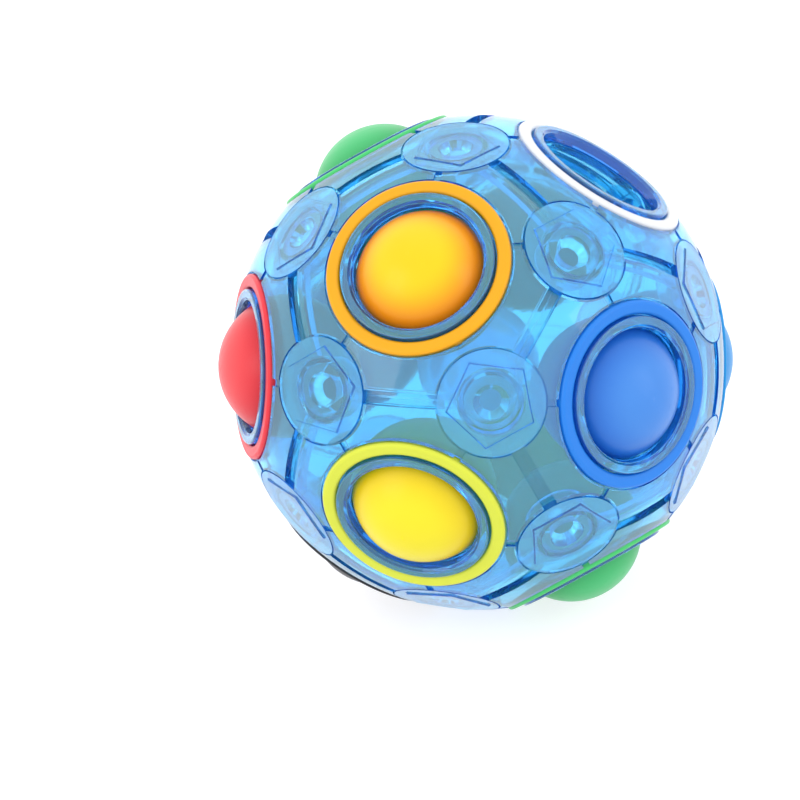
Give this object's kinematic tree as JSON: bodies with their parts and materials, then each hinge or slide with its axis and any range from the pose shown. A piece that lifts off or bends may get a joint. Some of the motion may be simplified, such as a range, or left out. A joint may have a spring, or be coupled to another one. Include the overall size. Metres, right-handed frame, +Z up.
{
  "type": "sliding ball puzzle",
  "caption": "Clear blue hollow ball with round mouths, coloured rings and captive balls; a ball is pressed in and passed under a seam into the empty mouth.",
  "frame": {"origin": "centre of the land of the lowest cap, on the surface that the puzzle stands on, straight below the middle of the shell", "axes": "+Z up, out of the land of the lowest cap and through the middle of the shell; +X level, in the plane that holds the axes of the white, cyan, red and black holes; +Y completes a right-handed frame"},
  "size_m": [0.0734, 0.07, 0.069],
  "materials": {
    "clear_blue": "clear polished, tinted blue",
    "clear_cap": "clear polished, tinted blue",
    "clear_core": "clear polished, tinted blue",
    "ring_orange": "satin moulded",
    "ring_white": "satin moulded",
    "ring_green": "satin moulded",
    "ring_blue": "satin moulded",
    "ring_teal": "satin moulded",
    "ring_red": "satin moulded",
    "ring_yellow": "satin moulded",
    "ring_cyan": "satin moulded",
    "ring_violet": "satin moulded",
    "ring_jade": "satin moulded",
    "ring_lime": "satin moulded",
    "ring_black": "satin moulded",
    "ball_orange": "smooth gloss",
    "ball_green": "smooth gloss",
    "ball_blue": "smooth gloss",
    "ball_teal": "smooth gloss",
    "ball_red": "smooth gloss",
    "ball_yellow": "smooth gloss",
    "ball_cyan": "smooth gloss",
    "ball_violet": "smooth gloss",
    "ball_jade": "smooth gloss",
    "ball_lime": "smooth gloss",
    "ball_black": "smooth gloss"
  },
  "bodies": {
    "shell": {"panel_orange": "clear_blue", "panel_white": "clear_blue", "panel_green": "clear_blue", "panel_blue": "clear_blue", "panel_teal": "clear_blue", "panel_red": "clear_blue", "panel_yellow": "clear_blue", "panel_cyan": "clear_blue", "panel_violet": "clear_blue", "panel_jade": "clear_blue", "panel_lime": "clear_blue", "panel_black": "clear_blue", "ring_orange": "ring_orange", "ring_white": "ring_white", "ring_green": "ring_green", "ring_blue": "ring_blue", "ring_teal": "ring_teal", "ring_red": "ring_red", "ring_yellow": "ring_yellow", "ring_cyan": "ring_cyan", "ring_violet": "ring_violet", "ring_jade": "ring_jade", "ring_lime": "ring_lime", "ring_black": "ring_black", "cap_orange_white_green": "clear_cap", "cap_orange_white_blue": "clear_cap", "cap_orange_green_red": "clear_cap", "cap_orange_blue_yellow": "clear_cap", "cap_orange_red_yellow": "clear_cap", "cap_white_green_teal": "clear_cap", "cap_white_blue_cyan": "clear_cap", "cap_white_teal_cyan": "clear_cap", "cap_green_teal_violet": "clear_cap", "cap_green_red_violet": "clear_cap", "cap_blue_yellow_jade": "clear_cap", "cap_blue_cyan_jade": "clear_cap", "cap_teal_cyan_lime": "clear_cap", "cap_teal_violet_lime": "clear_cap", "cap_red_yellow_black": "clear_cap", "cap_red_violet_black": "clear_cap", "cap_yellow_jade_black": "clear_cap", "cap_cyan_jade_lime": "clear_cap", "cap_violet_lime_black": "clear_cap", "cap_jade_lime_black": "clear_cap"},
    "core": {"core": "clear_core"},
    "ball_orange": {"ball_orange": "ball_orange"},
    "ball_green": {"ball_green": "ball_green"},
    "ball_blue": {"ball_blue": "ball_blue"},
    "ball_teal": {"ball_teal": "ball_teal"},
    "ball_red": {"ball_red": "ball_red"},
    "ball_yellow": {"ball_yellow": "ball_yellow"},
    "ball_cyan": {"ball_cyan": "ball_cyan"},
    "ball_violet": {"ball_violet": "ball_violet"},
    "ball_jade": {"ball_jade": "ball_jade"},
    "ball_lime": {"ball_lime": "ball_lime"},
    "ball_black": {"ball_black": "ball_black"}
  },
  "joints": [
    {"name": "push_green", "type": "slide", "parent": "shell", "child": "ball_green", "axis": [0.3035, -0.5257, -0.7947], "range_m": [0, 0.0044]},
    {"name": "push_blue", "type": "slide", "parent": "shell", "child": "ball_blue", "axis": [-0.4911, 0.8507, -0.1876], "range_m": [0, 0.0044]},
    {"name": "push_teal", "type": "slide", "parent": "shell", "child": "ball_teal", "axis": [-0.4911, -0.8507, -0.1876], "range_m": [0, 0.0044]},
    {"name": "push_red", "type": "slide", "parent": "shell", "child": "ball_red", "axis": [0.9822, 0, -0.1876], "range_m": [0, 0.0044]},
    {"name": "push_yellow", "type": "slide", "parent": "shell", "child": "ball_yellow", "axis": [0.4911, 0.8507, 0.1876], "range_m": [0, 0.0044]},
    {"name": "push_cyan", "type": "slide", "parent": "shell", "child": "ball_cyan", "axis": [-0.9822, 0, 0.1876], "range_m": [0, 0.0044]},
    {"name": "push_violet", "type": "slide", "parent": "shell", "child": "ball_violet", "axis": [0.4911, -0.8507, 0.1876], "range_m": [0, 0.0044]},
    {"name": "push_jade", "type": "slide", "parent": "shell", "child": "ball_jade", "axis": [-0.3035, 0.5257, 0.7947], "range_m": [0, 0.0044]},
    {"name": "push_lime", "type": "slide", "parent": "shell", "child": "ball_lime", "axis": [-0.3035, -0.5257, 0.7947], "range_m": [0, 0.0044]},
    {"name": "push_black", "type": "slide", "parent": "shell", "child": "ball_black", "axis": [0.6071, 0, 0.7947], "range_m": [0, 0.0044]},
    {"name": "pass_orange", "type": "hinge", "parent": "shell", "child": "ball_orange", "pos_m": [0.00806, -0.01397, 0.07673], "axis": [0.4671, -0.809, -0.3568], "range_deg": [0, 65.89]},
    {"name": "core_turn", "type": "hinge", "parent": "shell", "child": "core", "pos_m": [0, 0, 0.03451], "axis": [0, 0, 1], "continuous": true}
  ]
}
